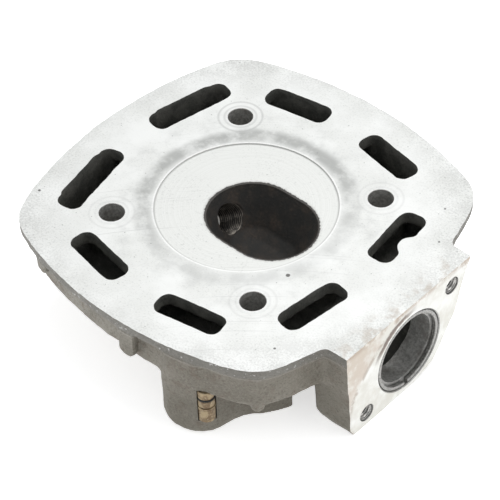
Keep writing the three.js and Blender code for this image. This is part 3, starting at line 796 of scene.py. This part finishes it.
def grown_casting():
    """The cast body before machining, as one rounded volume with an uneven skin."""
    spans = ((-60, 66), (-61, 60), (-35, 5))
    axes = [np.arange(low, high, VOXEL) for low, high in spans]
    x, y, z = np.meshgrid(*axes, indexing="ij", sparse=True)
    body, deck = cast_field(x, y, z)
    field = soft_cut(body, hollow_field(x, y, z, deck), 0.8)
    grid = openvdb.FloatGrid(background=4.0)
    grid.copyFromArray(np.clip(field, -4, 4).astype(np.float32))
    points, triangles, quads = grid.convertToPolygons(isovalue=0.0, adaptivity=0.0)
    corner = np.array([low for low, high in spans])
    points = points * VOXEL + corner
    mesh = bpy.data.meshes.new("casting")
    faces = [tuple(t) for t in triangles.tolist()] + [tuple(q) for q in quads.tolist()]
    mesh.from_pydata(points.tolist(), [], faces)
    face_outwards(mesh)
    normals = np.zeros(len(points) * 3, np.float32)
    mesh.vertices.foreach_get("normal", normals)
    bumps = 0.1 * lattice_noise(points, 1.3, 3) + 0.12 * lattice_noise(points, 4.5, 5)
    rough = points + normals.reshape(-1, 3) * bumps[:, None]
    mesh.vertices.foreach_set("co", rough.astype(np.float32).ravel())
    casting = rest_object("casting", mesh, cast_sides())
    mesh.materials.append(stained_jacket())
    centres = np.zeros(len(mesh.polygons) * 3, np.float32)
    mesh.polygons.foreach_get("center", centres)
    x, y, z = centres.reshape(-1, 3).astype(float).T
    body, deck = cast_field(x, y, z)
    hollow = hollow_field(x, y, z, deck)
    inside = (abs(hollow) < abs(body)).astype(np.int32)
    mesh.polygons.foreach_set("material_index", inside)
    return casting


def face_outwards(mesh):
    work = bmesh.new()
    work.from_mesh(mesh)
    bmesh.ops.recalc_face_normals(work, faces=work.faces)
    work.to_mesh(mesh)
    work.free()


# ---- small solids: all of them are made from rows of points ---------------------------------------


def rest_object(name, mesh, material):
    obj = bpy.data.objects.new(name, mesh)
    bpy.context.scene.collection.objects.link(obj)
    mesh.materials.clear()
    mesh.materials.append(material)
    return obj


def solid_of_rows(name, rows, material, ring=False):
    """A closed solid from equal rows of points. A ring joins its last row to its first."""
    rows = np.asarray(rows, float)
    count, around = rows.shape[:2]
    faces = []
    for j in range(count if ring else count - 1):
        a, b = j * around, ((j + 1) % count) * around
        for i in range(around):
            k = (i + 1) % around
            faces.append((a + i, a + k, b + k, b + i))
    if not ring:
        faces.append(tuple(range(around)))
        faces.append(tuple(range(count * around - 1, (count - 1) * around - 1, -1)))
    mesh = bpy.data.meshes.new(name)
    mesh.from_pydata(rows.reshape(-1, 3).tolist(), [], faces)
    face_outwards(mesh)
    return rest_object(name, mesh, material)


def across(direction):
    """Two unit vectors square to a direction and to each other."""
    side = Vector((0, 1, 0)) if abs(direction.y) < 0.9 else Vector((0, 0, 1))
    first = direction.cross(side).normalized()
    return first, direction.cross(first).normalized()


def turned_rows(profile, start, direction, steps, angles=None):
    """Rows of points for a profile of (radius, distance along) pairs turned round an axis."""
    a, b = (np.array(v) for v in across(direction))
    axis = np.array(direction)
    if angles is None:
        angles = np.arange(steps) * 2 * math.pi / steps
    spokes = np.outer(np.cos(angles), a) + np.outer(np.sin(angles), b)
    return [np.array(start) + axis * along + spokes * radius for radius, along in profile]


def turned(name, profile, start, direction, material, steps=96, ring=False):
    rows = turned_rows(profile, start, direction, steps)
    return solid_of_rows(name, rows, material, ring)


def thread_rows(radius, depth, pitch, start, direction, low, high, steps=72):
    """Rows of a threaded surface: a sixty-degree thread of that depth inside radius."""
    a, b = (np.array(v) for v in across(direction))
    axis = np.array(direction)
    turns = np.arange(steps) / steps
    angles = turns * 2 * math.pi
    spokes = np.outer(np.cos(angles), a) + np.outer(np.sin(angles), b)
    rows = []
    for along in np.arange(low, high + 0.001, pitch / 8):
        phase = (along / pitch - turns) % 1
        ridge = np.clip(1.3 * (1 - abs(2 * phase - 1)) - 0.15, 0, 1)
        reach = (radius - depth + depth * ridge)[:, None]
        rows.append(np.array(start) + axis * along + spokes * reach)
    return rows


def block(name, low, high, material):
    (x0, y0, z0), (x1, y1, z1) = low, high
    rows = [[(x0, y0, z), (x1, y0, z), (x1, y1, z), (x0, y1, z)] for z in (z0, z1)]
    return solid_of_rows(name, rows, material)


# ---- machining ------------------------------------------------------------------------------------


def chamber_cutter(material):
    """The bowl: a turned profile stretched along X, with its rim rounded over."""
    profile = [(0.4, BOWL_PROFILE[0][1]), *BOWL_PROFILE[1:]]
    radii, depths = zip(*profile)
    steps = np.linspace(0, 1, 33)
    knots = np.linspace(0, 1, len(profile))
    smooth = [(np.interp(t, knots, radii), np.interp(t, knots, depths)) for t in steps]
    rim = BOWL_PROFILE[-1][0]
    for angle in np.linspace(0.2, math.pi / 2, 6):
        over = BOWL_EDGE * (1 - math.cos(angle))
        smooth.append((rim + over, BOWL_EDGE * (math.sin(angle) - 1)))
    smooth.append((rim + 0.9, 0.6))
    angles = np.arange(128) * 2 * math.pi / 128 + 0.001
    stretch = np.where(np.cos(angles) > 0, BOWL_HALF_PITCH, -BOWL_HALF_PITCH)
    rows = []
    for radius, z in smooth:
        x = BOWL_CENTRE[0] + stretch + radius * np.cos(angles)
        y = BOWL_CENTRE[1] + radius * np.sin(angles)
        rows.append(np.stack([x, y, np.full_like(x, z)], axis=1))
    return solid_of_rows("cutter_bowl", rows, material)


def cutters():
    """Every tool that cuts the casting, in the order of the work."""
    deck, pad, bored, soot = machined_deck(), machined_pad(), turned_aluminium(), sooty_chamber()
    yield block("cutter_deck", (-80, -80, 0), (80, 80, 12), deck)
    yield block("cutter_pad", (PAD_FACE_X, -50, -50), (90, 50, 20), pad)
    yield block("cutter_seat", (-80, -80, -60), (80, 80, -HEAD_HEIGHT), bored)
    recess = [(RECESS_RADIUS, -RECESS_DEPTH), (RECESS_RADIUS + 0.15, 1)]
    yield turned("cutter_recess", recess, (0, 0, 0), UP, deck, 192)
    yield chamber_cutter(soot)
    for x, y in STUD_PLACES:
        r = STUD_HOLE_RADIUS
        hole = [(r, -HEAD_HEIGHT - 1), (r, -0.12), (r + 0.12, 0), (r + 0.3, 0.2)]
        yield turned("cutter_stud", hole, (x, y, 0), UP, bored)
        seat = [(NUT_ROOM_RADIUS, -40), (NUT_ROOM_RADIUS, -STUD_SEAT_DEPTH)]
        yield turned("cutter_nut_seat", seat, (x, y, 0), UP, bored)
    ledge = PAD_FACE_X - COUNTERBORE_DEPTH
    outlet = [
        (OUTLET_RADIUS, ledge - 8),
        (OUTLET_RADIUS, ledge),
        (COUNTERBORE_RADIUS, ledge),
        (COUNTERBORE_RADIUS, PAD_FACE_X - 0.25),
        (COUNTERBORE_RADIUS + 0.6, PAD_FACE_X + 0.35),
    ]
    yield turned("cutter_outlet", outlet, (0, *OUTLET), ALONG_X, bored, 144)
    for y, z in PAD_HOLES.values():
        r = PAD_HOLE_RADIUS
        depth = PAD_FACE_X - PAD_HOLE_DEPTH
        hole = [(0.2, depth - 1.5), (r, depth), (r, PAD_FACE_X - 0.1), (r + 0.2, PAD_FACE_X + 0.1)]
        yield turned("cutter_pad_hole", hole, (0, y, z), ALONG_X, bored, 64)
    thread = thread_rows(5.0, 0.6, 1.0, PLUG_MOUTH, PLUG_OUTWARDS, -9.0, PLUG_REACH + 0.6)
    yield solid_of_rows("cutter_plug_thread", thread, plug_thread())
    well = [
        (4.9, PLUG_REACH - 0.3),
        (PLUG_WELL_RADIUS - 0.4, PLUG_REACH),
        (PLUG_WELL_RADIUS, PLUG_REACH + 0.4),
        (PLUG_WELL_RADIUS, PLUG_BOSS_LENGTH + 12),
    ]
    yield turned("cutter_plug_well", well, PLUG_MOUTH, PLUG_OUTWARDS, bored)
    pocket = [(BRASS_RADIUS + GAP, BRASS_BOTTOM - GAP), (BRASS_RADIUS + GAP, BRASS_TOP + GAP)]
    yield turned("cutter_pocket", pocket, (*BRASS_AXIS, 0), UP, bored, 64)


def machined(casting, tools):
    """Cuts the casting with each tool, whose material the cut faces keep."""
    tools = list(tools)
    for tool in tools:
        cut = casting.modifiers.new(tool.name, "BOOLEAN")
        cut.operation = "DIFFERENCE"
        cut.solver = "MANIFOLD"
        cut.material_mode = "TRANSFER"
        cut.object = tool
    bpy.context.view_layer.update()
    graph = bpy.context.evaluated_depsgraph_get()
    mesh = bpy.data.meshes.new_from_object(casting.evaluated_get(graph))
    casting.modifiers.clear()
    casting.data = mesh
    for tool in tools:
        bpy.data.objects.remove(tool)
    return casting


def keep_sharp(obj, degrees):
    """Smooth shading, except where faces meet at more than an angle."""
    obj.data.shade_smooth()
    obj.data.set_sharp_from_angle(angle=math.radians(degrees))


def to_frame(obj):
    """From millimetres round the head's datum to metres in the frame."""
    obj.data.transform(Matrix.Translation(DATUM) @ Matrix.Scale(MM, 4))


def fit(obj, node):
    to_frame(obj)
    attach(obj, "root")
    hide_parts(node)


# ---- separate pieces ------------------------------------------------------------------------------


def thread_insert(node, y, z, material):
    """Sleeve with an M5 thread inside and a small lead at its mouth."""
    high = PAD_FACE_X - INSERT_SETBACK
    low = high - INSERT_LENGTH
    outside = PAD_HOLE_RADIUS - GAP
    inner = thread_rows(2.32, 0.36, 0.8, (0, y, z), ALONG_X, low + 0.2, high - 0.3)
    lead = turned_rows([(2.2, high - 0.1), (outside - 0.1, high)], (0, y, z), ALONG_X, 72)
    outer = turned_rows([(outside, high - 0.2), (outside, low + 0.2), (outside - 0.2, low)],
                        (0, y, z), ALONG_X, 72)
    back = turned_rows([(2.1, low)], (0, y, z), ALONG_X, 72)
    obj = solid_of_rows(node, [*inner, *lead, *outer, *back], material, ring=True)
    keep_sharp(obj, 35)
    fit(obj, node)


def spring_ring(material):
    """Split ring of square wire with rounded edges, lying on the ledge of the counterbore."""
    section, edge = RING_SECTION, RING_EDGE
    outside = COUNTERBORE_RADIUS - GAP
    back = PAD_FACE_X - COUNTERBORE_DEPTH + GAP
    centre = (outside - section / 2, back + section / 2)
    wire = []
    for corner in range(4):
        for step in range(4):
            angle = math.radians(90 * corner + 30 * step)
            cx = (section / 2 - edge) * (1 if corner in (0, 3) else -1)
            cy = (section / 2 - edge) * (1 if corner in (0, 1) else -1)
            wire.append((cx + edge * math.cos(angle), cy + edge * math.sin(angle)))
    rows = []
    start, end = RING_GAP_AT + RING_GAP_ANGLE, RING_GAP_AT - RING_GAP_ANGLE + 2 * math.pi
    for angle in np.linspace(start, end, 120):
        spoke = np.array((0, math.cos(angle), math.sin(angle)))
        rows.append([spoke * (centre[0] + r) + (centre[1] + along, *OUTLET) for r, along in wire])
    obj = solid_of_rows("outlet_spring_ring", rows, material)
    keep_sharp(obj, 40)
    fit(obj, "outlet_spring_ring")


def chamfered(profile_points, edge):
    """Breaks each corner of a (radius, along) profile with a small flat."""
    out = []
    for i, point in enumerate(profile_points):
        if i in (0, len(profile_points) - 1):
            out.append(point)
            continue
        here = Vector(point)
        for other in (profile_points[i - 1], profile_points[i + 1]):
            toward = Vector(other) - here
            out.append(tuple(here + toward.normalized() * min(edge, toward.length / 3)))
    return out


def brass_insert(material):
    length = BRASS_TOP - BRASS_BOTTOM
    full, neck = BRASS_RADIUS, BRASS_NECK_RADIUS
    profile = [(0.3, 0), (full, 0)]
    for low in GROOVES:
        high = low + GROOVE_WIDTH
        profile += [(full, low), (neck, low), (neck, high), (full, high)]
    profile += [(full, length), (0.3, length)]
    start = (*BRASS_AXIS, BRASS_BOTTOM)
    obj = turned("brass_insert", chamfered(profile, 0.14), start, UP, material)
    keep_sharp(obj, 30)
    fit(obj, "brass_insert")


def groove_piece(node, groove, height, material, squareness):
    """A ring in one of the brass insert's grooves: round like an O-ring, or squarer."""
    inside, outside = BRASS_NECK_RADIUS + GAP / 2, BRASS_RADIUS + 0.15
    middle, half_width = (inside + outside) / 2, (outside - inside) / 2
    centre = BRASS_BOTTOM + GROOVES[groove] + GROOVE_WIDTH / 2
    section = []
    for angle in np.arange(20) * math.pi / 10:
        c, s = math.cos(angle), math.sin(angle)
        c = math.copysign(abs(c) ** squareness, c)
        s = math.copysign(abs(s) ** squareness, s)
        section.append((middle + half_width * c, centre + height / 2 * s))
    obj = turned(node, section, (*BRASS_AXIS, 0), UP, material, ring=True)
    keep_sharp(obj, 60)
    fit(obj, node)


# ---- assembly -------------------------------------------------------------------------------------


def make_head():
    casting = grown_casting()
    machined(casting, cutters())
    casting.name = "casting"
    keep_sharp(casting, 32)
    fit(casting, "head_casting")
    steel = insert_steel()
    for node, (y, z) in PAD_HOLES.items():
        thread_insert(node, y, z, steel)
    spring_ring(spring_steel())
    brass = turned_brass()
    brass_insert(brass)
    groove_piece("insert_clip", 0, CLIP_HEIGHT, brass, 0.4)
    groove_piece("insert_o_ring", 1, SEAL_HEIGHT, black_rubber(), 1.0)


make_camera()
make_studio()
make_head()

boxes = {"cad": cad_box, "visual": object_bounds()}
{k: [list(v) for v in box] for k, box in boxes.items()}
